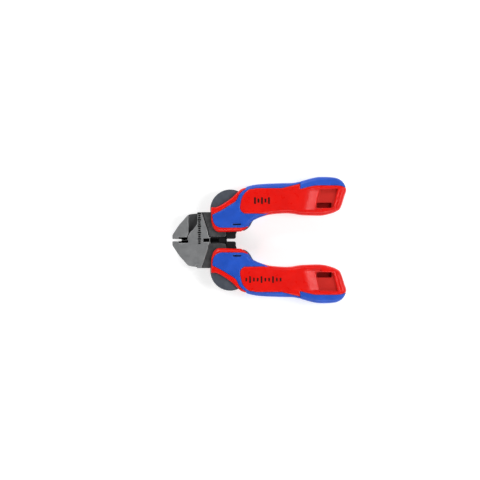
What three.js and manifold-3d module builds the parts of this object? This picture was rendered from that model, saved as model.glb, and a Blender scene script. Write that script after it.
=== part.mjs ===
// Compact bolt cutters, closed, lying on the back of the grips.
// Millimetres, +Z up. The head points to -X, the middle plane of the tool is at z = MID.
import * as THREE from "three";
import { mergeVertices } from "three/addons/utils/BufferGeometryUtils.js";
import Module from "manifold-3d";

const wasm = await Module();
wasm.setup();

// ---- driving dimensions ----
const MID = 11; // height of the middle plane above the rest plane
const GAP = 0.3; // clearance between neighbouring pieces
const RUN = 0.1; // radial running clearance of the rivets
const LAP = 0.15; // half of the clearance between two lapped halves

const JAW_PIVOT = { x: -55.4, y: 0 };
const CENTRE_PIVOT = { x: -34.0, y: 0 };
const LEVER_ARM = 16.4; // centre pivot to lever pin
const LEVER_LEAN = (12 * Math.PI) / 180; // the lever pin leans towards the head when closed
const LEVER_PIN = {
  x: CENTRE_PIVOT.x - LEVER_ARM * Math.sin(LEVER_LEAN),
  y: LEVER_ARM * Math.cos(LEVER_LEAN),
};
const DISC = { x: -26.7, y: 28.1, r: 18.6 }; // round side plate of each handle

const BLADE_HALF = 6.5; // half thickness of the blades, flush with the outer lap plate
const TAIL_HALF = 4.7; // half thickness of the jaw tail
const FORK_HALF = 2.5; // half width of the slot in the jaw tail
const CORE_HALF = 2.2; // half thickness of the lever core between the fork leaves
const CHEEK_IN = 5.0;
const CHEEK_OUT = 7.6;
const COVER_IN = 7.9; // inner face of the plastic shoulder covers
const GRIP_HALF = 11; // half thickness of the grips
const SOFT_HALF = 10.7; // half thickness of the soft inlays
const INLAY_IN = 8.9; // inner face of the shoulder inlay
const END_CAP_X = 37.4; // where the outer band ends and the end cap begins

const HEAD_TOP = 25.9; // half height of the head across the blades
const LAP_R = 10.9; // round lap of a jaw about the jaw pivot
const EYE_R = 6.5; // jaw tail about the lever pin
const JAW_RIVET_R = 3.0;
const LEVER_RIVET_R = 3.0;
const CENTRE_RIVET_R = 2.2;
const CENTRE_HOLE_R = 2.65;
const CENTRE_EYE_R = 4.2; // half-lapped eyes of the two lever cores
const LAP_ZONE_R = 9.4; // the lapped stretch reaches this far towards the jaws
const TONGUE = { r: 11.3, half: 4.0 }; // it runs on as a tongue that fills the slot behind the plate
const TANG_RIVET = { x: -6.5, y: 32, r: 2.4 };

// ---- colours ----
const paint = (name, color, roughness, metalness) =>
  new THREE.MeshStandardMaterial({ name, color, roughness, metalness });
const STEEL = () => paint("forged steel", 0x83868a, 0.45, 0.9);
const DARK_STEEL = () => paint("dark steel", 0x4a505c, 0.5, 0.8);
const RED = () => paint("hard red plastic", 0xe01408, 0.5, 0);
const BLUE = () => paint("soft blue grip", 0x2a5cc4, 0.7, 0);

// ---- making and joining solids ----
function solid(geometry) {
  const bare = geometry.index ? geometry.toNonIndexed() : geometry.clone();
  bare.deleteAttribute("normal");
  bare.deleteAttribute("uv");
  const merged = mergeVertices(bare, 1e-4);
  return new wasm.Manifold(
    new wasm.Mesh({
      numProp: 3,
      vertProperties: merged.attributes.position.array,
      triVerts: new Uint32Array(merged.index.array),
    }),
  );
}

// A flat plate. grow moves its outline outwards, or inwards when it is below zero.
function slab(shape, low, high, curveSegments = 6, grow = 0) {
  const geometry = new THREE.ExtrudeGeometry(shape, {
    depth: high - low,
    bevelEnabled: grow !== 0,
    bevelSize: 0,
    bevelThickness: 0,
    bevelSegments: 0,
    bevelOffset: grow,
    curveSegments,
  });
  geometry.translate(0, 0, low);
  return solid(geometry);
}

function rounded(shape, half, edge, rise, steps, curveSegments) {
  const geometry = new THREE.ExtrudeGeometry(shape, {
    depth: 2 * (half - rise),
    bevelEnabled: true,
    bevelSize: edge,
    bevelOffset: -edge,
    bevelThickness: rise,
    bevelSegments: steps,
    curveSegments,
  });
  geometry.translate(0, 0, -(half - rise));
  return solid(geometry);
}

function disc(at, radius, low, high, sides = 24) {
  const geometry = new THREE.CylinderGeometry(radius, radius, high - low, sides);
  geometry.rotateX(Math.PI / 2);
  geometry.translate(at.x, at.y, (low + high) / 2);
  return solid(geometry);
}

function block(x0, x1, y0, y1, low, high) {
  const geometry = new THREE.BoxGeometry(x1 - x0, y1 - y0, high - low);
  geometry.translate((x0 + x1) / 2, (y0 + y1) / 2, (low + high) / 2);
  return solid(geometry);
}

// A closed outline from straight points.
function polygon(points) {
  return new THREE.Shape(points.map(([x, y]) => new THREE.Vector2(x, y)));
}

function joined(...solids) {
  return solids.reduce((a, b) => a.add(b));
}

function cut(from, ...tools) {
  return tools.reduce((a, b) => a.subtract(b), from);
}

// The same cut tool above and below the middle plane.
function bothFaces(make) {
  return joined(make(1), make(-1));
}

const root = new THREE.Group();
root.name = "bolt_cutters";

function meshFrom(body) {
  const made = body.getMesh();
  const geometry = new THREE.BufferGeometry();
  const positions = new Float32Array(made.numVert * 3);
  for (let i = 0; i < made.numVert; i++) {
    for (let k = 0; k < 3; k++) positions[i * 3 + k] = made.vertProperties[i * made.numProp + k];
  }
  geometry.setAttribute("position", new THREE.BufferAttribute(positions, 3));
  geometry.setIndex(new THREE.BufferAttribute(new Uint32Array(made.triVerts), 1));
  return geometry;
}

function place(name, body, material) {
  const mesh = new THREE.Mesh(meshFrom(body), material);
  mesh.name = name;
  mesh.position.z = MID;
  root.add(mesh);
  return mesh;
}

// The lower piece is the upper one turned half a turn about the long axis of the tool.
function placePair(name, body, material) {
  place("upper_" + name, body, material());
  const mesh = place("lower_" + name, body, material());
  mesh.rotation.x = Math.PI;
}

// ---- jaws (made as the upper jaw: its lap plate is at the back) ----
const HEAD_OUTLINE = [
  [-80.0, 5.0],
  [-78.2, 7.6],
  [-74.8, 12.7],
  [-72.9, 15.3],
  [-69.2, 19.3],
  [-67.4, 21.5],
  [-65.4, 23.3],
  [-63.0, 24.1],
  [-57.0, 24.7],
];

function bladeShape() {
  const shape = new THREE.Shape();
  shape.moveTo(-80.0, LAP);
  shape.lineTo(-80.0, 5.0);
  shape.splineThru(HEAD_OUTLINE.slice(1).map(([x, y]) => new THREE.Vector2(x, y)));
  shape.lineTo(-57.0, LAP);
  shape.closePath();
  return shape;
}

// Lap plate of a jaw. side = 1: the plate's left edge steps back in the upper half.
function lapShape(side, grow = 0) {
  const shape = new THREE.Shape();
  const { x, y } = JAW_PIVOT;
  const r = LAP_R + grow;
  const start = Math.PI - Math.asin(2.7 / r);
  const end = (Math.PI * 122) / 180;
  shape.moveTo(-56.8 - grow, side * (HEAD_TOP + grow));
  shape.lineTo(-57.3 - grow, side * 14.8);
  shape.absarc(x, y, r, side * end, side * start, side < 0);
  shape.lineTo(x - r, side * -LAP);
  shape.lineTo(-57.3, side * -LAP);
  shape.lineTo(-57.3, side * -(HEAD_TOP + grow));
  shape.lineTo(-53.2 + grow, side * -(HEAD_TOP + grow));
  shape.lineTo(-47.2 + grow, side * -8.0);
  shape.absarc(x, y, r - 1.2, side * -0.55, side * 0.55, side < 0);
  shape.lineTo(-47.2 + grow, side * 8.0);
  shape.lineTo(-53.2 + grow, side * (HEAD_TOP + grow));
  shape.closePath();
  return shape;
}

function tailShape() {
  const shape = new THREE.Shape();
  shape.moveTo(-52.9, HEAD_TOP);
  shape.lineTo(-46.9, 8.0);
  shape.lineTo(-46.9, 3.0);
  shape.lineTo(-32.9, 3.0);
  shape.quadraticCurveTo(-30.4, 3.0, -30.5, 5.5);
  shape.lineTo(LEVER_PIN.x + EYE_R, LEVER_PIN.y);
  shape.absarc(LEVER_PIN.x, LEVER_PIN.y, EYE_R, 0, Math.PI * 0.45, false);
  shape.quadraticCurveTo(-41.3, 25.2, -45.0, HEAD_TOP);
  shape.closePath();
  return shape;
}

function jaw() {
  const blade = slab(bladeShape(), -BLADE_HALF, BLADE_HALF, 2);
  // Everything of this blade in front of the middle plane ends at the recess of the other lap plate.
  const recess = joined(
    block(-65.1, -40, -1, 40, -LAP, 20),
    disc(JAW_PIVOT, LAP_R + 0.4, -LAP, 20),
  );
  const relief = block(-90, -71.8, -5, 1.0, -20, 20);
  const bevels = bothFaces((face) =>
    slabAlongX(
      [
        [-1, face * 0.3],
        [LAP, face * 0.3],
        [2.1, face * 2.8],
        [2.5, face * BLADE_HALF],
        [2.5, face * 20],
        [-1, face * 20],
      ],
      -74.0,
      -65.6,
    ),
  );
  const taper = bothFaces((face) =>
    slabAlongY(
      [
        [-81, face * 4.9],
        [-73.4, face * BLADE_HALF],
        [-73.4, face * 9],
        [-81, face * 9],
      ],
      -1,
      20,
    ),
  );
  const groove = block(-51.4, -40, -1.56, 1.56, -20, -1.2);
  const nick = slab(
    polygon([
      [-60.4, 25.4],
      [-57.4, 23.4],
      [-57.4, 27.0],
      [-60.4, 27.0],
    ]),
    -20,
    -4.0,
  );
  const lap = cut(slab(lapShape(-1), -BLADE_HALF, -LAP), groove);
  const web = slab(tailShape(), -TAIL_HALF, TAIL_HALF);
  const sweep = sweptLap();
  const fork = forkSlot();
  const tail = cut(web, sweep, fork, disc(LEVER_PIN, LEVER_RIVET_R + RUN, -20, 20));
  const bridge = slab(
    polygon([
      [-56.9, HEAD_TOP - 0.3],
      [-56.9, 3.0],
      [-46.2, 3.0],
      [-46.2, 10.0],
      [-50.0, HEAD_TOP - 0.3],
    ]),
    -TAIL_HALF,
    -LAP,
  );
  return cut(
    joined(cut(blade, recess, relief, bevels, taper, nick), lap, tail, bridge),
    disc(JAW_PIVOT, JAW_RIVET_R + RUN, -20, 20),
  );
}

// An extrusion along X of an outline in Y and Z.
function slabAlongX(points, x0, x1) {
  const geometry = new THREE.ExtrudeGeometry(polygon(points), {
    depth: x1 - x0,
    bevelEnabled: false,
  });
  geometry.rotateY(Math.PI / 2);
  geometry.rotateX(Math.PI / 2);
  geometry.translate(x0, 0, 0);
  return solid(geometry);
}

// An extrusion along Y of an outline in X and Z.
function slabAlongY(points, y0, y1) {
  const geometry = new THREE.ExtrudeGeometry(polygon(points), {
    depth: y1 - y0,
    bevelEnabled: false,
  });
  geometry.rotateX(Math.PI / 2);
  geometry.translate(0, y1, 0);
  return solid(geometry);
}

// Room that the other jaw's front plate needs in front of the middle plane while the jaws open.
function sweptLap() {
  const plate = lapShape(1, 0.35);
  const parts = [];
  for (const degrees of [0, 6, 12.4]) {
    const geometry = new THREE.ExtrudeGeometry(plate, {
      depth: 20,
      bevelEnabled: false,
      curveSegments: 6,
    });
    geometry.translate(-JAW_PIVOT.x, -JAW_PIVOT.y, -LAP);
    geometry.rotateZ((degrees * Math.PI) / 180);
    geometry.translate(JAW_PIVOT.x, JAW_PIVOT.y, 0);
    parts.push(solid(geometry));
  }
  return joined(...parts);
}

function forkSlot() {
  return block(-45.8, -20, 0, 40, -FORK_HALF, FORK_HALF);
}

placePair("jaw", jaw(), STEEL);
place("jaw_rivet", disc(JAW_PIVOT, JAW_RIVET_R, -BLADE_HALF, BLADE_HALF), DARK_STEEL());

// ---- lever cores (made as the upper one) ----
function coreShape() {
  const shape = new THREE.Shape();
  shape.moveTo(-37.6, 2.2);
  shape.lineTo(-42.6, 14.5);
  shape.absarc(LEVER_PIN.x, LEVER_PIN.y, 5.6, Math.PI, Math.PI * 0.4, true);
  shape.lineTo(-29.0, 30.0);
  shape.lineTo(-14.0, 38.0);
  shape.lineTo(14.0, 40.0);
  shape.lineTo(14.0, 32.0);
  shape.lineTo(-12.0, 27.0);
  shape.lineTo(-19.0, 12.0);
  shape.lineTo(-21.6, 5.2);
  shape.absarc(-23.3, 3.0, 1.8, 0.2, -Math.PI / 2, true);
  shape.lineTo(-29.4, 1.2);
  shape.absarc(-29.4, 2.2, 1.0, -Math.PI / 2, -Math.PI, true);
  shape.lineTo(-31.0, 3.2);
  shape.closePath();
  return shape;
}

// Jaw tail in the frame of the handle, from closed to fully open.
function sweptTail() {
  const parts = [];
  for (const degrees of [0, -9, -18, -27]) {
    const geometry = new THREE.ExtrudeGeometry(tailShape(), {
      depth: 40,
      bevelEnabled: false,
      curveSegments: 3,
    });
    geometry.translate(-LEVER_PIN.x, -LEVER_PIN.y, -20);
    geometry.scale(1.04, 1.04, 1);
    geometry.rotateZ((degrees * Math.PI) / 180);
    geometry.translate(LEVER_PIN.x, LEVER_PIN.y, 0);
    parts.push(solid(geometry));
  }
  return joined(...parts);
}

function leverCore() {
  const shape = coreShape();
  const thin = slab(shape, -CORE_HALF, CORE_HALF);
  const thick = cut(
    slab(shape, -TAIL_HALF, TAIL_HALF).intersect(block(-33, 20, 0, 60, -20, 20)),
    sweptTail(),
    disc(LEVER_PIN, EYE_R + 0.4, -20, 20),
  );
  // Each core keeps only its own half of the thickness around the centre pivot.
  const otherEye = joined(
    disc(CENTRE_PIVOT, LAP_ZONE_R + GAP, -CORE_HALF - 0.4, LAP, 36),
    disc(CENTRE_PIVOT, TONGUE.r + GAP, -CORE_HALF - 0.4, LAP, 36).intersect(
      block(-60, CENTRE_PIVOT.x, -20, 20, -20, 20),
    ),
  );
  const eye = joined(
    disc(CENTRE_PIVOT, CENTRE_EYE_R, LAP, CORE_HALF),
    disc(CENTRE_PIVOT, LAP_ZONE_R, LAP, CORE_HALF, 36).intersect(
      block(-60, CENTRE_PIVOT.x + 2.6, -20, 20, -20, 20),
    ),
    disc(CENTRE_PIVOT, TONGUE.r, LAP, CORE_HALF, 36).intersect(
      block(-60, CENTRE_PIVOT.x - 5, -TONGUE.half, TONGUE.half, -20, 20),
    ),
  );
  return cut(
    joined(cut(joined(thin, thick), otherEye), eye),
    disc(CENTRE_PIVOT, CENTRE_HOLE_R, -20, 20),
    disc(LEVER_PIN, LEVER_RIVET_R + RUN, -20, 20),
    disc(TANG_RIVET, TANG_RIVET.r + GAP, -20, 20),
  );
}

placePair("lever_core", leverCore(), DARK_STEEL);
place("centre_rivet", disc(CENTRE_PIVOT, CENTRE_RIVET_R, -CORE_HALF, CORE_HALF), DARK_STEEL());

// ---- cheeks: round side plates with an arm that runs into the grip ----
function cheekShape() {
  const shape = new THREE.Shape();
  const r = DISC.r - 0.2;
  const from = -0.95;
  const to = 0.55;
  shape.moveTo(DISC.x + r * Math.cos(to), DISC.y + r * Math.sin(to));
  shape.absarc(DISC.x, DISC.y, r, to, from, false);
  shape.lineTo(-17.4, 9.2);
  shape.lineTo(-14.2, 8.7);
  shape.quadraticCurveTo(-9.9, 10.2, -7.6, 14.6);
  shape.quadraticCurveTo(-5.2, 20.2, 2, 24);
  shape.absarc(2, 32, 8, -Math.PI / 2, Math.PI / 2, false);
  shape.closePath();
  return shape;
}

function cheek(face) {
  const low = face > 0 ? CHEEK_IN : -CHEEK_OUT;
  const high = face > 0 ? CHEEK_OUT : -CHEEK_IN;
  return cut(
    slab(cheekShape(), low, high, 14),
    disc(LEVER_PIN, LEVER_RIVET_R + RUN, -20, 20),
    disc(TANG_RIVET, TANG_RIVET.r + GAP, -20, 20),
  );
}

placePair("front_cheek", cheek(1), DARK_STEEL);
placePair("back_cheek", cheek(-1), DARK_STEEL);
placePair("lever_rivet", disc(LEVER_PIN, LEVER_RIVET_R, -CHEEK_OUT, CHEEK_OUT), DARK_STEEL);
placePair("tang_rivet", disc(TANG_RIVET, TANG_RIVET.r, -CHEEK_OUT, CHEEK_OUT), DARK_STEEL);

// ---- grips ----
const OUTER_EDGE = [
  [-12.2, 49.0],
  [-4.9, 50.8],
  [4.3, 51.8],
  [20.9, 52.4],
  [30.1, 52.6],
  [35.0, 53.4],
  [41.0, 55.0],
  [46.6, 56.6],
  [52.6, 57.9],
  [58.0, 58.2],
  [66.8, 57.9],
  [72.6, 56.6],
  [77.4, 53.0],
  [80.0, 46.5],
];
const INNER_EDGE = [
  [78.3, 40.2],
  [74.7, 29.7],
  [71.0, 26.4],
  [65.0, 24.1],
  [57.0, 22.6],
  [46.0, 22.7],
  [38.0, 23.1],
  [30.5, 24.4],
  [24.0, 24.7],
  [15.8, 24.2],
  [8.5, 23.3],
  [1.1, 21.1],
  [-2.6, 19.5],
  [-6.4, 16.9],
  [-9.8, 12.1],
  [-13.0, 9.4],
  [-17.0, 7.3],
];
const BAND_EDGE = [
  [-36.1, 32.0],
  [-32.5, 34.1],
  [-28.8, 36.6],
  [-25.1, 39.4],
  [-21.4, 43.0],
  [-17.2, 47.0],
];

const vectors = (points) => points.map(([x, y]) => new THREE.Vector2(x, y));

function gripShape() {
  const shape = new THREE.Shape();
  shape.moveTo(-44.6, 30.4);
  shape.lineTo(-39.8, 30.4);
  shape.splineThru(vectors([...BAND_EDGE, ...OUTER_EDGE, ...INNER_EDGE]));
  shape.lineTo(-37.0, 6.8);
  shape.quadraticCurveTo(-43.6, 7.4, -44.9, 19.0);
  shape.closePath();
  return shape;
}

// Soft inlay on the shoulder: it runs below the panel and meets the outer band.
const INLAY_TOP = [
  [-39.8, 24.9],
  [-36.1, 26.8],
  [-32.5, 28.8],
  [-28.8, 31.2],
  [-25.1, 33.4],
  [-22.0, 35.6],
  [-20.2, 38.2],
  [-18.8, 41.4],
  [-16.0, 44.6],
  [-12.6, 46.9],
];
const PANEL_NOSE = [
  [-9.6, 46.4],
  [-14.0, 42.4],
  [-16.4, 37.5],
  [-17.6, 31.0],
  [-17.0, 27.2],
  [-14.0, 24.5],
];
const INLAY_FOOT = [
  [1.5, 19.6],
  [-4.0, 16.4],
  [-7.4, 13.8],
  [-11.0, 12.2],
  [-16.0, 11.4],
];

function inlayShape() {
  const shape = new THREE.Shape();
  shape.moveTo(-43.0, 20.0);
  shape.lineTo(-43.2, 23.4);
  shape.splineThru(vectors(INLAY_TOP));
  shape.lineTo(-12.2, 50.5);
  shape.lineTo(-5.0, 50.5);
  shape.lineTo(-5.0, 47.0);
  shape.splineThru(vectors(PANEL_NOSE));
  shape.lineTo(7.4, 24.2);
  shape.splineThru(vectors(INLAY_FOOT));
  shape.lineTo(-35.0, 11.2);
  shape.quadraticCurveTo(-42.2, 12.2, -43.0, 20.0);
  return shape;
}

function outerBandShape(end) {
  const shape = new THREE.Shape();
  shape.moveTo(-12.2, 46.4);
  shape.lineTo(-9.6, 46.9);
  shape.lineTo(-3.0, 47.6);
  shape.lineTo(20.9, 47.6);
  shape.splineThru(vectors([[23.0, 48.3], [29.0, 49.7], [END_CAP_X, 51.8]]));
  shape.lineTo(end, 51.8);
  shape.lineTo(end, 60);
  shape.lineTo(-12.2, 60);
  shape.closePath();
  return shape;
}

function endCapShape() {
  const shape = new THREE.Shape();
  shape.moveTo(END_CAP_X, 46.8);
  shape.splineThru(vectors([[42.9, 48.2], [50.3, 49.9], [60.0, 50.1], [72.4, 50.0], [77.0, 49.0]]));
  shape.lineTo(84, 46.8);
  shape.lineTo(84, 62);
  shape.lineTo(END_CAP_X, 62);
  shape.closePath();
  return shape;
}

const WINDOW = [
  [55.5, 46.9],
  [72.2, 47.3],
  [67.7, 29.8],
  [51.4, 29.2],
];
const WINDOW_FLOOR = 7.4;
const SLOT = { x0: 53.0, x1: 66.2, y0: 30.0, y1: 34.2, floor: 3.5 }; // deep end of the window
const SCOOP = { x0: 41.0, x1: 55.0, end: 57.0, y0: 27.4, y1: 46.0, depth: 2.6, steps: 6 };
const DASH = { x0: -24.2, x1: -16.9, y0: 14.0, y1: 15.0, depth: 0.6 };

function windowShape(radius) {
  const shape = new THREE.Shape();
  const corners = vectors(WINDOW);
  corners.forEach((corner, i) => {
    const before = corners[(i + 3) % 4];
    const after = corners[(i + 1) % 4];
    const enter = corner.clone().add(before.clone().sub(corner).setLength(radius));
    const leave = corner.clone().add(after.clone().sub(corner).setLength(radius));
    if (i === 0) shape.moveTo(enter.x, enter.y);
    else shape.lineTo(enter.x, enter.y);
    shape.quadraticCurveTo(corner.x, corner.y, leave.x, leave.y);
  });
  shape.closePath();
  return shape;
}

// A soft ramp that sinks into a face towards the window.
function scoop(face) {
  const points = [];
  for (let i = 0; i <= SCOOP.steps; i++) {
    const t = i / SCOOP.steps;
    const sink = SCOOP.depth * t * t * (3 - 2 * t);
    points.push([SCOOP.x0 + t * (SCOOP.x1 - SCOOP.x0), face * (GRIP_HALF - sink)]);
  }
  points.push([SCOOP.end, face * (GRIP_HALF - SCOOP.depth)]);
  points.push([SCOOP.end, face * (GRIP_HALF + 2)]);
  points.push([SCOOP.x0, face * (GRIP_HALF + 2)]);
  return slabAlongY(points, SCOOP.y0, SCOOP.y1);
}

function layers(shape, inner, grow = 0) {
  return joined(
    slab(shape, inner, 20, 3, grow),
    slab(shape, -20, -inner, 3, grow),
  );
}

function carrier() {
  const form = rounded(gripShape(), GRIP_HALF, 4.2, 5, 4, 2);
  return cut(
    form,
    layers(inlayShape(), INLAY_IN - GAP),
    slab(outerBandShape(END_CAP_X + 1), -20, 20, 3),
    slab(endCapShape(), -20, 20, 2),
    block(-60, -12, -10, 60, -COVER_IN, COVER_IN),
    slab(cheekShape(), -COVER_IN, COVER_IN, 14, 0.35),
    slab(coreShape(), -TAIL_HALF - GAP, TAIL_HALF + GAP, 10, 0.35),
    layers(windowShape(2.2), WINDOW_FLOOR),
    block(SLOT.x0, SLOT.x1, SLOT.y0, SLOT.y1, SLOT.floor, 20),
    block(SLOT.x0, SLOT.x1, SLOT.y0, SLOT.y1, -20, -SLOT.floor),
    scoop(1),
    scoop(-1),
  );
}

function softBand() {
  const form = rounded(gripShape(), SOFT_HALF, 4.2, 4.7, 4, 2);
  const covers = joined(
    layers(inlayShape(), INLAY_IN, -GAP),
    slab(outerBandShape(END_CAP_X + 0.01), -20, 20, 3, -GAP),
  );
  const dashes = bothFaces((face) =>
    block(
      DASH.x0,
      DASH.x1,
      DASH.y0,
      DASH.y1,
      face > 0 ? SOFT_HALF - DASH.depth : -20,
      face > 0 ? 20 : DASH.depth - SOFT_HALF,
    ),
  );
  return cut(form.intersect(covers), dashes);
}

function endCap() {
  const form = rounded(gripShape(), SOFT_HALF, 4.2, 4.7, 4, 2);
  return form.intersect(slab(endCapShape(), -20, 20, 2, -GAP));
}

placePair("grip_carrier", carrier(), RED);
placePair("soft_band", softBand(), BLUE);
placePair("end_cap", endCap(), BLUE);

export default root;
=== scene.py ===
import math

import bpy
import numpy as np
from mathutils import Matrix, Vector


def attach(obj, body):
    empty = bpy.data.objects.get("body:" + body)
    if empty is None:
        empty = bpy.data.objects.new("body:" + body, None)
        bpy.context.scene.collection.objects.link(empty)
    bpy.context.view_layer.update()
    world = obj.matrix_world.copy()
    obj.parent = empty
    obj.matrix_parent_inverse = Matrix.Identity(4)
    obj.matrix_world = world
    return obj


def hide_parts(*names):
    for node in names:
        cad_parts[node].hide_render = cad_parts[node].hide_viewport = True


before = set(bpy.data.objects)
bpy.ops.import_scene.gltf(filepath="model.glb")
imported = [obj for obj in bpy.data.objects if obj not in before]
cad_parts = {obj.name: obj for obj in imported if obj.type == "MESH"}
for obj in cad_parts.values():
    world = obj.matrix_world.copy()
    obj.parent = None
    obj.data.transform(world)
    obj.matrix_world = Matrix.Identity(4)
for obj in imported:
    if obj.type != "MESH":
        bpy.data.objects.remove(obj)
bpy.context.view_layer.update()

# All shape numbers are in millimetres. Heights are counted from the middle plane of the tool.
MM = 0.001
MID = 11.0

# Half thicknesses and the heights of layers. Lapped halves stop LAP_FACE short of the middle.
GRIP_HALF = 11.0
SOFT_HALF = 10.85
FLAT_SIDE_HALF = 6.0
SOCKET_HALF = 7.9
JAW_HALF = 6.5
TAIL_HALF = 4.7
CORE_HALF = 2.2
LAP_FACE = 0.15
CHEEK_INNER, CHEEK_OUTER = 5.0, 7.6

# Pivots, pins and their holes.
JAW_PIVOT = (-55.4, 0.0)
CENTRE_PIVOT = (-34.0, 0.0)
LEVER_ARM = 16.4
LEVER_LEAN = math.radians(12)
LEVER_PIN = (
    CENTRE_PIVOT[0] - LEVER_ARM * math.sin(LEVER_LEAN),
    LEVER_ARM * math.cos(LEVER_LEAN),
)
TANG_RIVET = (-6.5, 32.0)
PIN_R, PIN_HOLE_R = 3.0, 3.1
TANG_PIN_R = 2.4
CENTRE_PIN_R, CENTRE_HOLE_R, CENTRE_HEAD_R = 2.2, 2.65, 3.3
JAW_PIN_HALF, JAW_HOLE_HALF = 5.7, 5.9

# Round shapes.
DISC = (-26.7, 28.1)
DISC_R = 18.4
LAP_R = 10.9
EYE_R, EYE_OUTER_R, EYE_ROOM_R = 4.2, 9.4, 9.7
TONGUE_R, TONGUE_ROOM_R, TONGUE_ROOM_IN_JAW = 11.65, 11.6, 11.85
TONGUE_HALF_WIDTH = 4.0
HEAD_TOP = 25.9

# Angles, in degrees, at which moving neighbours are given room.
JAW_SWINGS = (0, 3, 6, 9, 12.4)
LEVER_SWINGS = (0, -4.5, -9, -13.5, -18, -22.5, -27)


# ---------------------------------------------------------------- outlines
class Outline:
    """A closed outline made of straight, curved and spline stretches."""

    def __init__(self, x, y):
        self.points = [(x, y)]

    def line(self, x, y):
        self.points.append((x, y))
        return self

    def quad(self, cx, cy, x, y, steps=10):
        """A curve to (x, y) that leans towards (cx, cy)."""
        x0, y0 = self.points[-1]
        for i in range(1, steps + 1):
            t = i / steps
            a, b, c = (1 - t) ** 2, 2 * t * (1 - t), t * t
            self.points.append((a * x0 + b * cx + c * x, a * y0 + b * cy + c * y))
        return self

    def arc(self, cx, cy, r, start, end, steps=24):
        for i in range(steps + 1):
            a = start + (end - start) * i / steps
            self.points.append((cx + r * math.cos(a), cy + r * math.sin(a)))
        return self

    def spline(self, through, steps=8):
        """A smooth curve through all the points given."""
        pts = [self.points[-1]] + list(through)
        last = len(pts) - 1
        for i in range(last):
            p = [pts[max(i - 1, 0)], pts[i], pts[min(i + 1, last)], pts[min(i + 2, last)]]
            for k in range(1, steps + 1):
                t = k / steps
                self.points.append(tuple(catmull([q[n] for q in p], t) for n in (0, 1)))
        return self

    def array(self):
        return np.array(self.points, float)


def catmull(p, t):
    """Point between the second and third of four values, t from 0 to 1."""
    v0, v1 = (p[2] - p[0]) / 2, (p[3] - p[1]) / 2
    a = 2 * p[1] - 2 * p[2] + v0 + v1
    b = -3 * p[1] + 3 * p[2] - 2 * v0 - v1
    return ((a * t + b) * t + v0) * t + p[1]


FAR = 1e9


def signed_distance(outline, x, y):
    """Distance to a closed outline, below zero inside it."""
    nearest = np.full(x.shape, FAR)
    inside = np.zeros(x.shape, bool)
    following = np.roll(outline, -1, axis=0)
    for (ax, ay), (bx, by) in zip(outline, following):
        dx, dy = bx - ax, by - ay
        length = dx * dx + dy * dy
        if length < 1e-12:
            continue
        t = np.clip(((x - ax) * dx + (y - ay) * dy) / length, 0, 1)
        nearest = np.minimum(nearest, (x - ax - t * dx) ** 2 + (y - ay - t * dy) ** 2)
        if dy != 0:
            crosses = (ay > y) != (by > y)
            inside ^= crosses & (x < ax + dx * (y - ay) / dy)
    return np.where(inside, -1, 1) * np.sqrt(nearest)


# ---------------------------------------------------------------- soft solid algebra
def cut_soft(a, b, k):
    """What a and b have in common, with its edges rounded by k."""
    return np.maximum(a, b) + np.maximum(k - np.abs(a - b), 0) ** 2 / (4 * k)


def slab(flat, z, low, high, k=0.3):
    """An outline given a thickness, from low to high."""
    return cut_soft(flat, np.maximum(low - z, z - high), k)


def box_field(x, y, z, x0, x1, y0, y1, z0, z1):
    flat = np.maximum(np.maximum(x0 - x, x - x1), np.maximum(y0 - y, y - y1))
    return np.maximum(flat, np.maximum(z0 - z, z - z1))


def smooth_step(t):
    return t * t * (3 - 2 * t)


class Grid:
    """A regular grid of sample points around a solid."""

    def __init__(self, low, high, step):
        self.low, self.step = np.array(low, float), step
        count = [int(math.ceil((h - l) / step)) + 1 for l, h in zip(low, high)]
        axes = [l + step * np.arange(n) for l, n in zip(low, count)]
        self.z = axes[2][None, None, :]
        self.x = axes[0][:, None, None] + 0 * axes[1][None, :, None]
        self.y = axes[1][None, :, None] + 0 * self.x
        self.flat_x, self.flat_y = self.x[:, :, 0], self.y[:, :, 0]

    def flat(self, outline):
        return signed_distance(outline, self.flat_x, self.flat_y)[:, :, None]


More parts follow.
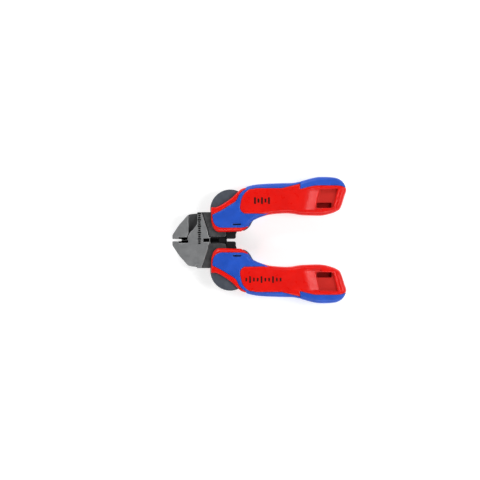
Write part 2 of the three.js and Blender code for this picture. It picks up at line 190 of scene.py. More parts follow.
def surface(field, grid):
    """Vertices and quads of a field's zero level: one vertex in each cell the surface crosses."""
    inside = field < 0
    nx, ny, nz = field.shape
    corner = [(i, j, k) for i in (0, 1) for j in (0, 1) for k in (0, 1)]

    def at(array, c):
        return array[c[0] : nx - 1 + c[0], c[1] : ny - 1 + c[1], c[2] : nz - 1 + c[2]]

    count = sum(at(inside, c).astype(np.int8) for c in corner)
    cells = (count > 0) & (count < 8)
    index = np.full(cells.shape, -1, np.int64)
    where = np.argwhere(cells)
    index[cells] = np.arange(len(where))
    total = np.zeros((len(where), 3))
    weight = np.zeros(len(where))
    for a in corner:
        for axis in range(3):
            if a[axis]:
                continue
            b = tuple(1 if n == axis else a[n] for n in range(3))
            fa, fb = at(field, a)[cells], at(field, b)[cells]
            crossing = (fa < 0) != (fb < 0)
            gap = np.where(crossing, fa - fb, 1.0)
            t = np.where(crossing, fa / gap, 0.0)
            point = np.array(a, float)[None, :] + 0 * total
            point[:, axis] += t
            total += point * crossing[:, None]
            weight += crossing
    verts = grid.low + grid.step * (where + total / weight[:, None])
    quads = []
    for axis in range(3):
        u, v = [n for n in range(3) if n != axis]
        a = np.take(inside, range(0, inside.shape[axis] - 1), axis)
        b = np.take(inside, range(1, inside.shape[axis]), axis)
        edge = np.argwhere(a != b)
        keep = (edge[:, u] > 0) & (edge[:, v] > 0)
        keep &= (edge[:, u] < inside.shape[u] - 1) & (edge[:, v] < inside.shape[v] - 1)
        edge = edge[keep]
        leaving = a[tuple(edge.T)]
        ring = []
        for du, dv in ((1, 1), (0, 1), (0, 0), (1, 0)):
            cell = edge.copy()
            cell[:, u] -= du
            cell[:, v] -= dv
            ring.append(index[tuple(cell.T)])
        ring = np.stack(ring, axis=1)
        outward = leaving if axis != 1 else ~leaving
        ring[~outward] = ring[~outward][:, ::-1]
        quads.append(ring)
    return verts, np.concatenate(quads)


# ---------------------------------------------------------------- objects
def turned(verts):
    """The lower piece is the upper one turned half a turn about the long axis."""
    return verts * np.array([1.0, -1.0, -1.0])


def add_object(name, verts, faces, material):
    mesh = bpy.data.meshes.new(name)
    placed = (verts + np.array([0, 0, MID])) * MM
    faces = faces.tolist() if hasattr(faces, "tolist") else faces
    mesh.from_pydata(placed.tolist(), [], faces)
    mesh.update()
    mesh.polygons.foreach_set("use_smooth", [True] * len(mesh.polygons))
    mesh.materials.append(material)
    obj = bpy.data.objects.new(name, mesh)
    bpy.context.scene.collection.objects.link(obj)
    return obj


def finish_piece(obj, node, body, slot):
    """Puts a piece on its body and hides the CAD part it stands for, if any."""
    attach(obj, body)
    if node:
        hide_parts(node)


def relax(verts, quads, rounds=2, amount=0.5):
    """Evens out the small steps of the grid without moving the solid."""
    n = len(verts)
    for _ in range(rounds):
        total = np.zeros_like(verts)
        count = np.zeros(n)
        for a, b in ((0, 1), (1, 2), (2, 3), (3, 0)):
            for p, q in ((a, b), (b, a)):
                np.add.at(total, quads[:, p], verts[quads[:, q]])
                np.add.at(count, quads[:, p], 1)
        verts = verts + amount * (total / count[:, None] - verts)
    return verts


# ---------------------------------------------------------------- grip outlines
GRIP = (
    Outline(-44.6, 30.4)
    .line(-39.8, 30.4)
    .spline([
        (-36.1, 32.0), (-32.5, 34.1), (-28.8, 36.6), (-25.1, 39.4), (-21.4, 43.0), (-17.2, 47.0),
        (-12.2, 49.0), (-4.9, 50.8), (4.3, 51.8), (20.9, 52.4), (30.1, 52.6), (35.0, 53.4),
        (41.0, 55.0), (46.6, 56.6), (52.6, 57.9), (58.0, 58.2), (66.8, 57.9), (72.6, 56.6),
        (77.4, 53.0), (80.0, 46.5), (78.3, 40.2), (74.7, 29.7), (71.0, 26.4), (65.0, 24.1),
        (57.0, 22.6), (46.0, 22.7), (38.0, 23.1), (30.5, 24.4), (24.0, 24.7), (15.8, 24.2),
        (8.5, 23.3), (1.1, 21.1), (-2.6, 19.5), (-6.4, 16.9), (-9.8, 12.1), (-13.0, 9.4),
        (-17.0, 7.3),
    ])
    .line(-37.0, 6.8)
    .quad(-43.6, 7.4, -44.9, 19.0)
    .array()
)
INLAY = (
    Outline(-43.0, 20.0)
    .line(-43.2, 23.4)
    .spline([
        (-39.8, 24.9), (-36.1, 26.8), (-32.5, 28.8), (-28.8, 31.2), (-25.1, 33.4),
        (-22.0, 35.6), (-20.2, 38.2), (-18.8, 41.4), (-16.0, 44.6), (-12.6, 46.9),
    ])
    .line(-12.2, 50.5)
    .line(-5.0, 50.5)
    .line(-5.0, 47.0)
    .spline([
        (-9.6, 46.4), (-14.0, 42.4), (-16.4, 37.5), (-17.6, 31.0), (-17.0, 27.2), (-14.0, 24.5),
    ])
    .line(7.4, 24.2)
    .spline([(1.5, 19.6), (-4.0, 16.4), (-7.4, 13.8), (-11.0, 12.2), (-16.0, 11.4)])
    .line(-35.0, 11.2)
    .quad(-42.2, 12.2, -43.0, 20.0)
    .array()
)
OUTER_BAND = (
    Outline(-12.2, 46.4)
    .line(-9.6, 46.9)
    .line(-3.0, 47.6)
    .line(20.9, 47.6)
    .spline([(23.0, 48.3), (29.0, 49.7), (37.4, 51.8)])
    .line(37.4, 60.0)
    .line(-12.2, 60.0)
    .array()
)
END_CAP = (
    Outline(37.4, 46.8)
    .spline([(42.9, 48.2), (50.3, 49.9), (60.0, 50.1), (72.4, 50.0), (77.0, 49.0)])
    .line(84.0, 46.8)
    .line(84.0, 62.0)
    .line(37.4, 62.0)
    .array()
)
WINDOW = np.array([(55.5, 46.9), (72.2, 47.3), (67.7, 29.8), (51.4, 29.2)])
CHEEK_START, CHEEK_END = 0.55, 2 * math.pi - 0.95
CHEEK = (
    Outline(DISC[0] + DISC_R * math.cos(CHEEK_START), DISC[1] + DISC_R * math.sin(CHEEK_START))
    .arc(DISC[0], DISC[1], DISC_R, CHEEK_START, CHEEK_END, 90)
    .line(-17.4, 9.2)
    .line(-14.2, 8.7)
    .quad(-9.9, 10.2, -7.6, 14.6)
    .quad(-5.2, 20.2, 2.0, 24.0)
    .arc(2, 32, 8, -math.pi / 2, math.pi / 2, 30)
    .array()
)


# ---------------------------------------------------------------- grip pieces
GRIP_STEP = 0.5
GRIP_BOX = ((-47, 5, -12.5), (82, 60.5, 12.5))
EDGE_WIDTH, EDGE_LOSS_BY_DISC = 4.2, 2.9
BY_DISC_X, BY_DISC_Y = -14, 20
BY_DISC_BLEND_X, BY_DISC_BLEND_Y = 6, 8
INLAY_FLOOR = 8.9
FOOT_END_X = -12
CHEEK_ROOM = 0.35
WINDOW_FLOOR, WINDOW_BEVEL = 7.4, 0.9
DEEP_END = (53.0, 66.2, 29.6, 34.2)
DEEP_END_FLOOR = 3.5
SCOOP_X, SCOOP_END_X, SCOOP_LENGTH, SCOOP_DEPTH = 41, 57, 14, 2.6
SCOOP_LOW_Y, SCOOP_HIGH_Y, SCOOP_MID_Y, SCOOP_LEAN = 26.8, 47.2, 38, 0.23
RIM_GROOVE = ((74.6, 46.3), (69.6, 29.0))
GROOVE_HALF_WIDTH, GROOVE_FLOOR = 0.55, 10.2
DASH_POCKET = (-24.2, -16.9, 13.9, 15.1)
SEAM = 0.06
BEYOND = 20


def rounded_form(flat, z, half, edge):
    """A plate with elliptically rounded edges, edge millimetres wide."""
    rise = half - FLAT_SIDE_HALF
    across = np.maximum(1 + flat / edge, 0)
    upright = np.maximum((np.abs(z) - FLAT_SIDE_HALF) / rise, 0)
    return (np.hypot(across, upright) - 1) * edge


def build_grip():
    """The hard body of the upper grip, its soft band and its end cap."""
    grid = Grid(*GRIP_BOX, GRIP_STEP)
    x, y, z = grid.x, grid.y, grid.z
    high = np.abs(z)
    flat = grid.flat(GRIP)
    cheek = grid.flat(CHEEK)
    cap = grid.flat(END_CAP)
    inlay = np.maximum(grid.flat(INLAY), INLAY_FLOOR - high)
    soft_zone = np.minimum(inlay, grid.flat(OUTER_BAND))

    by_disc = np.clip((BY_DISC_X - x) / BY_DISC_BLEND_X, 0, 1)
    by_disc = by_disc * np.clip((y - BY_DISC_Y) / BY_DISC_BLEND_Y, 0, 1)
    edge = EDGE_WIDTH - EDGE_LOSS_BY_DISC * by_disc
    carrier = rounded_form(flat, z, GRIP_HALF, edge)
    carrier = cut_soft(carrier, -np.minimum(soft_zone, cap), 0.5)
    carrier = cut_soft(carrier, -np.maximum(x - FOOT_END_X, high - SOCKET_HALF), 0.4)
    carrier = cut_soft(carrier, -np.maximum(cheek - CHEEK_ROOM, high - SOCKET_HALF), 0.2)
    above_floor = WINDOW_FLOOR + WINDOW_BEVEL - high
    window = cut_soft(grid.flat(WINDOW) + WINDOW_BEVEL, above_floor, 1.6) - WINDOW_BEVEL
    carrier = cut_soft(carrier, -window, 0.9)
    deep = box_field(x, y, high, *DEEP_END, DEEP_END_FLOOR, BEYOND)
    carrier = cut_soft(carrier, -deep, 0.5)

    along = (x - SCOOP_LEAN * (y - SCOOP_MID_Y) - SCOOP_X) / SCOOP_LENGTH
    ramp = SCOOP_DEPTH * smooth_step(np.clip(along, 0, 1))
    beside = np.maximum(SCOOP_LOW_Y - y, y - SCOOP_HIGH_Y)
    scoop = cut_soft((GRIP_HALF - ramp - high) * 0.9, beside, 1.3)
    carrier = cut_soft(carrier, -np.maximum(scoop, x - SCOOP_END_X), 0.8)
    rim = segment_distance(x, y, *RIM_GROOVE) - GROOVE_HALF_WIDTH
    carrier = cut_soft(carrier, -np.maximum(rim, GROOVE_FLOOR - high), 0.4)

    soft_form = rounded_form(flat, z, SOFT_HALF, edge)
    band = cut_soft(soft_form, soft_zone + SEAM, 0.45)
    dash = box_field(x, y, z, *DASH_POCKET, -BEYOND, BEYOND)
    band = cut_soft(band, -np.maximum(dash, GROOVE_FLOOR - high), 0.3)
    end = cut_soft(soft_form, cap + SEAM, 0.6)
    return [
        ("grip_carrier", *surface(carrier, grid)),
        ("soft_band", *surface(band, grid)),
        ("end_cap", *surface(end, grid)),
    ]


def segment_distance(x, y, a, b):
    """Distance in the plane to the straight stretch from a to b."""
    dx, dy = b[0] - a[0], b[1] - a[1]
    t = np.clip(((x - a[0]) * dx + (y - a[1]) * dy) / (dx * dx + dy * dy), 0, 1)
    return np.hypot(x - a[0] - t * dx, y - a[1] - t * dy)


# ---------------------------------------------------------------- jaws and lever cores
BLADE = (
    Outline(-80.0, 0.02)
    .line(-80.0, 5.0)
    .spline([
        (-78.2, 7.6), (-74.8, 12.7), (-72.9, 15.3), (-69.2, 19.3), (-67.4, 21.5),
        (-65.4, 23.3), (-63.0, 24.1), (-57.0, 24.7),
    ])
    .line(-57.0, 0.02)
    .array()
)
TAIL_EYE_R = 6.5
TAIL = (
    Outline(-52.9, HEAD_TOP)
    .line(-46.9, 8.0)
    .line(-46.9, 3.0)
    .line(-32.9, 3.0)
    .quad(-30.4, 3.0, -30.5, 5.5)
    .line(LEVER_PIN[0] + TAIL_EYE_R, LEVER_PIN[1])
    .arc(LEVER_PIN[0], LEVER_PIN[1], TAIL_EYE_R, 0, math.pi * 0.45)
    .quad(-41.3, 25.2, -45.0, HEAD_TOP)
    .array()
)
BRIDGE = np.array([(-56.9, 25.6), (-56.9, 3.0), (-46.2, 3.0), (-46.2, 10.0), (-50.0, 25.6)])
CORE = (
    Outline(-37.6, 2.2)
    .line(-42.6, 14.5)
    .arc(LEVER_PIN[0], LEVER_PIN[1], 5.6, math.pi, math.pi * 0.4)
    .line(-29.0, 30.0)
    .line(-14.0, 38.0)
    .line(14.0, 40.0)
    .line(14.0, 32.0)
    .line(-12.0, 27.0)
    .line(-19.0, 12.0)
    .line(-21.6, 5.2)
    .arc(-23.3, 3.0, 1.8, 0.2, -math.pi / 2, 12)
    .line(-29.4, 1.2)
    .arc(-29.4, 2.2, 1.0, -math.pi / 2, -math.pi, 12)
    .line(-31.0, 3.2)
    .array()
)


def lap_outline(side, grow=0.0):
    """Lap plate of a jaw. side = 1: the half with the round left edge is the upper one."""
    px, py = JAW_PIVOT
    r = LAP_R + grow
    round_from = math.radians(122)
    round_to = math.pi - math.asin(2.7 / r)
    step_x, step_y = -57.3, -0.15
    corner, corner_r = 0.55, r - 1.05
    path = (
        Outline(-56.8 - grow, HEAD_TOP + grow)
        .line(step_x - grow, 14.8)
        .arc(px, py, r, round_from, round_to)
        .line(px - r, step_y)
        .line(step_x, step_y)
        .line(step_x, -HEAD_TOP - grow)
        .line(-53.2 + grow, -HEAD_TOP - grow)
        .line(-47.2 + grow, -8.0)
        .arc(px, py, corner_r, -corner, corner)
        .line(-47.2 + grow, 8.0)
        .line(-53.2 + grow, HEAD_TOP + grow)
        .array()
    )
    return path * np.array([1, side])


def turn_about(outline, centre, angle, scale=1.0):
    """An outline turned about a centre, and grown from it by scale."""
    c, s = math.cos(angle), math.sin(angle)
    local = (outline - np.array(centre)) * scale
    return local @ np.array([[c, s], [-s, c]]) + np.array(centre)


def round_field(grid, centre, radius):
    """Distance to an upright cylinder, below zero inside it."""
    return (np.hypot(grid.flat_x - centre[0], grid.flat_y - centre[1]) - radius)[:, :, None]


JAW_STEP = 0.4
JAW_BOX = ((-81.6, -27.3, -7.8), (-28.6, 27.3, 7.8))
CORE_STEP = 0.45
CORE_BOX = ((-46.2, -11, -5.6), (15, 41, 5.6))

# The cutting edge: a narrow land, a bevel rising from it and a steep wall behind the bevel.
LAND_HALF = 1.3
BEVEL_RUN, BEVEL_RISE, BEVEL_LENGTH = 1.5, 2.1, 2.58
WALL_RUN, WALL_RISE, WALL_LENGTH = 3.2, 0.4, 3.22
WALL_Y, WALL_HEIGHT = 2.1, 2.8
BEVEL_X0, BEVEL_X1 = -74, -65.6
MOUTH_X, MOUTH_Y = -71.8, 1.0

# The rest of the jaw: the tapered nose, the recess for the other jaw's plate, a nick in the back
# of the blade, the slot in the plate and the fork of the tail.
NOSE_TAPER, NOSE_TAPER_X = 0.2105, -73.4
RECESS_X, RECESS_Y, PLATE_ROOM = -65.1, -1, 0.4
NICK_X, NICK_END_X, NICK_Y, NICK_HEIGHT = -60.4, -57.4, 25.4, -4.0
NICK_RUN, NICK_RISE = 0.55, 0.83
PLATE_SLOT = (-51.4, -40, -1.56, 1.56)
SLOT_FLOOR = -1.2
SWING_ROOM = 0.35
FORK_X, FORK_HALF = -45.8, 2.5

# The core: its thick part starts at THICK_X, and the room for the tail is a little larger than it.
THICK_X = -33
TAIL_ROOM_R, TAIL_ROOM_SCALE = 6.9, 1.04
OTHER_FLOOR = -2.6
EYE_REACH, TONGUE_REACH = 2.6, -5


def build_jaw():
    """The upper jaw: blade, lap plate at the back and forked tail."""
    grid = Grid(*JAW_BOX, JAW_STEP)
    x, y, z = grid.x, grid.y, grid.z
    high = np.abs(z)
    in_front = -LAP_FACE - z
    blade = slab(grid.flat(BLADE), z, -JAW_HALF, JAW_HALF, 0.4)
    recess = np.maximum(RECESS_X - x, RECESS_Y - y)
    recess = np.minimum(recess, round_field(grid, JAW_PIVOT, LAP_R + PLATE_ROOM))
    blade = cut_soft(blade, -np.maximum(recess, in_front), 0.3)
    blade = cut_soft(blade, -np.maximum(x - MOUTH_X, y - MOUTH_Y), 0.5)
    slope = (y * BEVEL_RUN - (high - LAND_HALF) * BEVEL_RISE) / BEVEL_LENGTH
    wall = ((y - WALL_Y) * WALL_RUN - (high - WALL_HEIGHT) * WALL_RISE) / WALL_LENGTH
    ends = np.maximum(BEVEL_X0 - x, x - BEVEL_X1)
    bevel = np.maximum(np.maximum(slope, wall), np.maximum(LAND_HALF - high, ends))
    blade = cut_soft(blade, -bevel, 0.15)
    blade = cut_soft(blade, high - JAW_HALF - NOSE_TAPER * (x - NOSE_TAPER_X), 0.3)
    nick = (NICK_Y - y) * NICK_RISE - (x - NICK_X) * NICK_RUN
    nick = np.maximum(nick, np.maximum(x - NICK_END_X, z - NICK_HEIGHT))
    blade = cut_soft(blade, -nick, 0.2)

    lap = slab(grid.flat(lap_outline(-1)), z, -JAW_HALF, -LAP_FACE, 0.4)
    groove = box_field(x, y, z, *PLATE_SLOT, -BEYOND, SLOT_FLOOR)
    lap = cut_soft(lap, -groove, 0.3)
    tongue_room = round_field(grid, CENTRE_PIVOT, TONGUE_ROOM_IN_JAW)
    lap = cut_soft(lap, -np.maximum(tongue_room, high - FORK_HALF), 0.2)

    tail = slab(grid.flat(TAIL), z, -TAIL_HALF, TAIL_HALF, 0.6)
    swing = np.full(grid.flat_x.shape, FAR)[:, :, None]
    for degrees in JAW_SWINGS:
        plate = turn_about(lap_outline(1, SWING_ROOM), JAW_PIVOT, math.radians(degrees))
        swing = np.minimum(swing, grid.flat(plate))
    tail = cut_soft(tail, -np.maximum(swing, in_front), 0.3)
    tail = cut_soft(tail, -np.maximum(FORK_X - x, high - FORK_HALF), 0.3)
    tail = np.maximum(tail, -round_field(grid, LEVER_PIN, PIN_HOLE_R))
    bridge = slab(grid.flat(BRIDGE), z, -TAIL_HALF, -LAP_FACE, 0.3)
    jaw = np.minimum(np.minimum(blade, lap), np.minimum(tail, bridge))
    pin_hole = np.maximum(round_field(grid, JAW_PIVOT, PIN_HOLE_R), high - JAW_HOLE_HALF)
    return surface(np.maximum(jaw, -pin_hole), grid)


def build_core():
    """The steel core of the upper lever: tang, stop nose, half-lapped eye and tongue."""
    grid = Grid(*CORE_BOX, CORE_STEP)
    x, y, z = grid.x, grid.y, grid.z
    right = x - CENTRE_PIVOT[0]
    flat = grid.flat(CORE)
    thin = slab(flat, z, -CORE_HALF, CORE_HALF, 0.2)
    thick = slab(flat, z, -TAIL_HALF, TAIL_HALF, 0.7)
    thick = cut_soft(thick, np.maximum(THICK_X - x, -y), 0.3)
    for degrees in LEVER_SWINGS:
        swept = turn_about(TAIL, LEVER_PIN, math.radians(degrees), TAIL_ROOM_SCALE)
        thick = cut_soft(thick, -grid.flat(swept), 0.3)
    thick = cut_soft(thick, -round_field(grid, LEVER_PIN, TAIL_ROOM_R), 0.3)

    other = np.maximum(round_field(grid, CENTRE_PIVOT, TONGUE_ROOM_R), right)
    other = np.minimum(other, round_field(grid, CENTRE_PIVOT, EYE_ROOM_R))
    other = np.maximum(other, np.maximum(OTHER_FLOOR - z, z - LAP_FACE))
    core = np.maximum(np.minimum(thin, thick), -other)
    eye = np.maximum(round_field(grid, CENTRE_PIVOT, EYE_OUTER_R), right - EYE_REACH)
    eye = np.minimum(eye, round_field(grid, CENTRE_PIVOT, EYE_R))
    tongue = np.maximum(right - TONGUE_REACH, np.abs(y) - TONGUE_HALF_WIDTH)
    eye = np.minimum(eye, np.maximum(round_field(grid, CENTRE_PIVOT, TONGUE_R), tongue))
    core = np.minimum(core, slab(eye, z, LAP_FACE, CORE_HALF, 0.2))
    core = np.maximum(core, -round_field(grid, CENTRE_PIVOT, CENTRE_HOLE_R))
    core = np.maximum(core, -round_field(grid, LEVER_PIN, PIN_HOLE_R))
    return surface(core, grid)


# ---------------------------------------------------------------- plates and pins
SHARPEST_MITRE = 0.3


def plate_mesh(outline, low, high, chamfer):
    """A flat plate with chamfered rims."""
    x, y = outline.T
    if np.sum(x * np.roll(y, -1) - np.roll(x, -1) * y) < 0:
        outline = outline[::-1]
    gap = np.hypot(*(outline - np.roll(outline, 1, axis=0)).T)
    outline = outline[gap > 1e-6]
    ahead = np.roll(outline, -1, axis=0) - outline
    behind = outline - np.roll(outline, 1, axis=0)
    ahead /= np.hypot(*ahead.T)[:, None]
    behind /= np.hypot(*behind.T)[:, None]
    inward = np.stack([-(ahead + behind)[:, 1], (ahead + behind)[:, 0]], axis=1)
    inward /= np.maximum(np.hypot(*inward.T), SHARPEST_MITRE)[:, None]
    inner = outline + inward * chamfer
    n = len(outline)
    rings = [(inner, low), (outline, low + chamfer), (outline, high - chamfer), (inner, high)]
    verts = np.concatenate([np.column_stack([ring, np.full(n, h)]) for ring, h in rings])
    faces = [list(range(n))[::-1], [3 * n + i for i in range(n)]]
    for k in range(3):
        for i in range(n):
            j = (i + 1) % n
            faces.append([k * n + i, k * n + j, (k + 1) * n + j, (k + 1) * n + i])
    return verts, faces


def circle(centre, r, count=56):
    angles = np.arange(count) * 2 * math.pi / count
    return np.column_stack([centre[0] + r * np.cos(angles), centre[1] + r * np.sin(angles)])


def sharpen(obj, degrees=32):
    """Edges that turn by more than this are drawn sharp."""
    obj.data.set_sharp_from_angle(angle=math.radians(degrees))


# ---------------------------------------------------------------- materials
class Nodes:
    """Short calls for building a node material."""

    def __init__(self, name):
        self.material = bpy.data.materials.new(name)
        self.material.use_nodes = True
        self.tree = self.material.node_tree
        self.shader = self.tree.nodes["Principled BSDF"]
        self.place = self.add("ShaderNodeTexCoord").outputs["Object"]

    def add(self, kind, **settings):
        node = self.tree.nodes.new(kind)
        for key, value in settings.items():
            setattr(node, key, value)
        return node

    def link(self, source, target):
        self.tree.links.new(source, target)

    def noise(self, scale, detail=4, rough=0.55):
        """Even noise, from 0 to 1."""
        node = self.add("ShaderNodeTexNoise")
        node.inputs["Scale"].default_value = scale
        node.inputs["Detail"].default_value = detail
        node.inputs["Roughness"].default_value = rough
        self.link(self.place, node.inputs["Vector"])
        return node.outputs["Fac"]

    def stretched(self, scale, sx, sy, sz, detail=5):
        """Noise drawn out along the axes with the smaller factors."""
        mapping = self.add("ShaderNodeMapping")
        mapping.inputs["Scale"].default_value = (sx, sy, sz)
        self.link(self.place, mapping.inputs["Vector"])
        node = self.add("ShaderNodeTexNoise")
        node.inputs["Scale"].default_value = scale
        node.inputs["Detail"].default_value = detail
        self.link(mapping.outputs["Vector"], node.inputs["Vector"])
        return node.outputs["Fac"]

    def cells(self, scale):
        node = self.add("ShaderNodeTexVoronoi")
        node.inputs["Scale"].default_value = scale
        self.link(self.place, node.inputs["Vector"])
        return node.outputs["Distance"]

    def ramp(self, source, *stops):
        """A colour picked from the stops by the source."""
        node = self.add("ShaderNodeValToRGB")
        ramp = node.color_ramp
        while len(ramp.elements) < len(stops):
            ramp.elements.new(0.5)
        for element, (place, colour) in zip(ramp.elements, stops):
            element.position = place
            element.color = (*colour, 1)
        self.link(source, node.inputs["Fac"])
        return node.outputs["Color"]

    def spread(self, source, low, high, from_low=0.3, from_high=0.7):
        """The source, between from_low and from_high, mapped to low and high."""
        node = self.add("ShaderNodeMapRange")
        node.inputs["From Min"].default_value = from_low
        node.inputs["From Max"].default_value = from_high
        node.inputs["To Min"].default_value = low
        node.inputs["To Max"].default_value = high
        self.link(source, node.inputs["Value"])
        return node.outputs["Result"]

    def math(self, operation, a, b):
        node = self.add("ShaderNodeMath", operation=operation)
        for socket, value in zip(node.inputs, (a, b)):
            if isinstance(value, (int, float)):
                socket.default_value = value
            else:
                self.link(value, socket)
        return node.outputs["Value"]

    def mix(self, factor, a, b):
        node = self.add("ShaderNodeMix", data_type="RGBA")
        self.link(factor, node.inputs["Factor"])
        for socket, value in ((node.inputs["A"], a), (node.inputs["B"], b)):
            if isinstance(value, tuple):
                socket.default_value = (*value, 1)
            else:
                self.link(value, socket)
        return node.outputs["Result"]

    def edges(self, low=0.52, high=0.62):
        """Rises to 1 on the outer edges of the mesh."""
        pointy = self.add("ShaderNodeNewGeometry").outputs["Pointiness"]
        return self.spread(pointy, 0, 1, low, high)

    def bump(self, height, strength, distance):
        node = self.add("ShaderNodeBump")
        node.inputs["Strength"].default_value = strength
        node.inputs["Distance"].default_value = distance
        self.link(height, node.inputs["Height"])
        self.link(node.outputs["Normal"], self.shader.inputs["Normal"])

    def set(self, **values):
        for key, value in values.items():
            self.shader.inputs[key.replace("_", " ")].default_value = value


def moulded_red(name, low, high, scuffs_and_edge_highlight=0.06, shine=0.28, rough=(0.25, 0.38)):
    """Hard red plastic with a fine moulded grain, faint scuffs and outer edges lightened by wear
    and a painted highlight.
    """
    n = Nodes(name)
    tone = n.ramp(n.noise(60, 5), (0.35, low), (0.65, high))
    scuff = n.spread(n.stretched(140, 1, 6, 6), 0, 1, 0.64, 0.8)
    tone = n.mix(n.math("MULTIPLY", scuff, scuffs_and_edge_highlight), tone, (0.90, 0.09, 0.06))
    # Pinker outer edges: edge wear together with a painted highlight.
    tone = n.mix(n.math("MULTIPLY", n.edges(), 2 * scuffs_and_edge_highlight), tone, (0.95, 0.06, 0.04))
    n.link(tone, n.shader.inputs["Base Color"])
    n.link(n.spread(n.noise(220, 4), *rough), n.shader.inputs["Roughness"])
    n.set(Specular_IOR_Level=shine)
    grain = n.math("ADD", n.cells(2600), n.math("MULTIPLY", n.noise(900, 3), 0.6))
    n.bump(grain, 0.22, 0.00012)
    return n.material


def soft_blue():
    """Satin blue elastomer with a finer grain and a little dust."""
    n = Nodes("soft_blue_grip")
    tone = n.ramp(n.noise(80, 5), (0.3, (0.007, 0.066, 0.44)), (0.7, (0.013, 0.090, 0.56)))
    dust = n.spread(n.noise(34, 6, 0.7), 0, 1, 0.6, 0.78)
    tone = n.mix(n.math("MULTIPLY", dust, 0.06), tone, (0.12, 0.22, 0.60))
    tone = n.mix(n.math("MULTIPLY", n.edges(), 0.14), tone, (0.10, 0.22, 0.72))
    n.link(tone, n.shader.inputs["Base Color"])
    n.link(n.spread(n.noise(180, 4), 0.34, 0.46), n.shader.inputs["Roughness"])
    n.set(Specular_IOR_Level=0.34, Sheen_Weight=0.03, Sheen_Roughness=0.5)
    grain = n.math("ADD", n.cells(3400), n.math("MULTIPLY", n.noise(1500, 3), 0.8))
    n.bump(grain, 0.30, 0.00015)
    return n.material


def forged_grey(name):
    """Ground steel with brush marks along the tool and edges lightened as wear and painted
    highlight.
    """
    n = Nodes(name)
    low, high = (0.195, 0.20, 0.205), (0.265, 0.27, 0.275)
    tone = n.ramp(n.noise(120, 7, 0.65), (0.3, low), (0.7, high))
    brush = n.stretched(160, 1, 26, 26)
    tone = n.mix(n.math("MULTIPLY", n.spread(brush, 0, 1), 0.22), tone, (0.34, 0.345, 0.35))
    # Lighter edges: edge wear together with a painted highlight.
    wear_and_highlight = n.math("MULTIPLY", n.edges(0.515, 0.60), 0.5)
    tone = n.mix(wear_and_highlight, tone, (0.55, 0.55, 0.56))
    n.link(tone, n.shader.inputs["Base Color"])
    n.set(Metallic=0.55, Specular_IOR_Level=0.5)
    n.link(n.spread(n.noise(260, 5), 0.42, 0.58), n.shader.inputs["Roughness"])
    n.bump(n.math("ADD", brush, n.noise(1400, 4)), 0.20, 0.00010)
    return n.material


def black_steel(name, low, high, edge, worn_edges=True, metal=0.5, shine=0.45):
    """Dark, slightly mottled metal or print; edge is the colour of scratches and worn edges."""
    n = Nodes(name)
    tone = n.ramp(n.noise(150, 6, 0.6), (0.3, low), (0.7, high))
    if worn_edges:
        tone = n.mix(n.math("MULTIPLY", n.edges(0.515, 0.60), 0.45), tone, edge)
    scratch = n.spread(n.stretched(110, 1, 30, 30), 0, 1, 0.66, 0.78)
    tone = n.mix(n.math("MULTIPLY", scratch, 0.25), tone, edge)
    n.link(tone, n.shader.inputs["Base Color"])
    n.set(Metallic=metal, Specular_IOR_Level=shine)
    n.link(n.spread(n.noise(300, 5), 0.42, 0.60), n.shader.inputs["Roughness"])
    n.bump(n.noise(1800, 4), 0.18, 0.00008)
    return n.material


def pale_floor():
    """A softly lit translucent table."""
    n = Nodes("pale_floor")
    tone = n.ramp(n.noise(3, 2), (0.3, (0.60, 0.60, 0.60)), (0.7, (0.62, 0.62, 0.62)))
    n.link(tone, n.shader.inputs["Base Color"])
    n.set(Roughness=0.9, Specular_IOR_Level=0.1)
    n.set(Emission_Color=(1, 1, 1, 1), Emission_Strength=0.58)
    return n.material


def grey(level):
    return (level, level, level)


DULL = (0.6, 0.75)
RED = moulded_red("hard_red_plastic", (0.72, 0.0040, 0.0015), (0.80, 0.0065, 0.0025))
RED_MATTE = moulded_red(
    "red_window_floor", (0.50, 0.014, 0.009), (0.56, 0.018, 0.012), 0.05, 0.2, DULL)
# A darker copy of the red plastic: painted shade for the deep end of the window.
RED_PAINTED_SHADE = moulded_red(
    "red_window_painted_shade", (0.24, 0.0020, 0.0010), (0.30, 0.0030, 0.0015), 0.0, 0.15, DULL)
BLUE = soft_blue()
FORGED = forged_grey("forged_jaw_steel")
DISC_STEEL = black_steel(
    "disc_steel", (0.066, 0.076, 0.098), (0.092, 0.104, 0.130), (0.20, 0.21, 0.23), False)
CORE_STEEL = black_steel(
    "core_steel", (0.006, 0.006, 0.007), (0.012, 0.012, 0.013), (0.07, 0.07, 0.075),
    True, 0.2, 0.25)
# Near-black painted shade for the narrow gaps between the blades and between the jaw tails.
BLACK_PAINTED_SHADE = black_steel("black_painted_shade", grey(0.001), grey(0.002), grey(0.01), False, 0.0, 0.05)
# Dark grey painted shade on the tongue between the jaw tails.
SHADE_STEEL = black_steel(
    "tongue_painted_shade", (0.014, 0.014, 0.015), (0.024, 0.024, 0.025), grey(0.06), False, 0.2, 0.25)
SCALE_STEEL = black_steel(
    "jaw_scale", (0.053, 0.054, 0.056), (0.090, 0.091, 0.095), (0.24, 0.24, 0.245))
PIVOT_STEEL = black_steel(
    "pivot_steel", (0.006, 0.006, 0.007), (0.012, 0.012, 0.013), (0.05, 0.05, 0.055),
    False, 0.2, 0.25)
PRINT = black_steel(
    "dark_print", (0.016, 0.004, 0.003), (0.026, 0.006, 0.005), (0.05, 0.01, 0.01),
    False, 0.0, 0.15)
# Dark etching for the plate bars, also used as painted shade in the shoulder grooves.
ETCH_AND_GROOVE_SHADE = black_steel("dark_etching_and_groove_shade", grey(0.0015), grey(0.003), grey(0.012), False, 0.0, 0.1)
RIVET_STEEL = black_steel(
    "rivet_steel", (0.10, 0.10, 0.105), (0.15, 0.15, 0.155), (0.35, 0.35, 0.36), False)

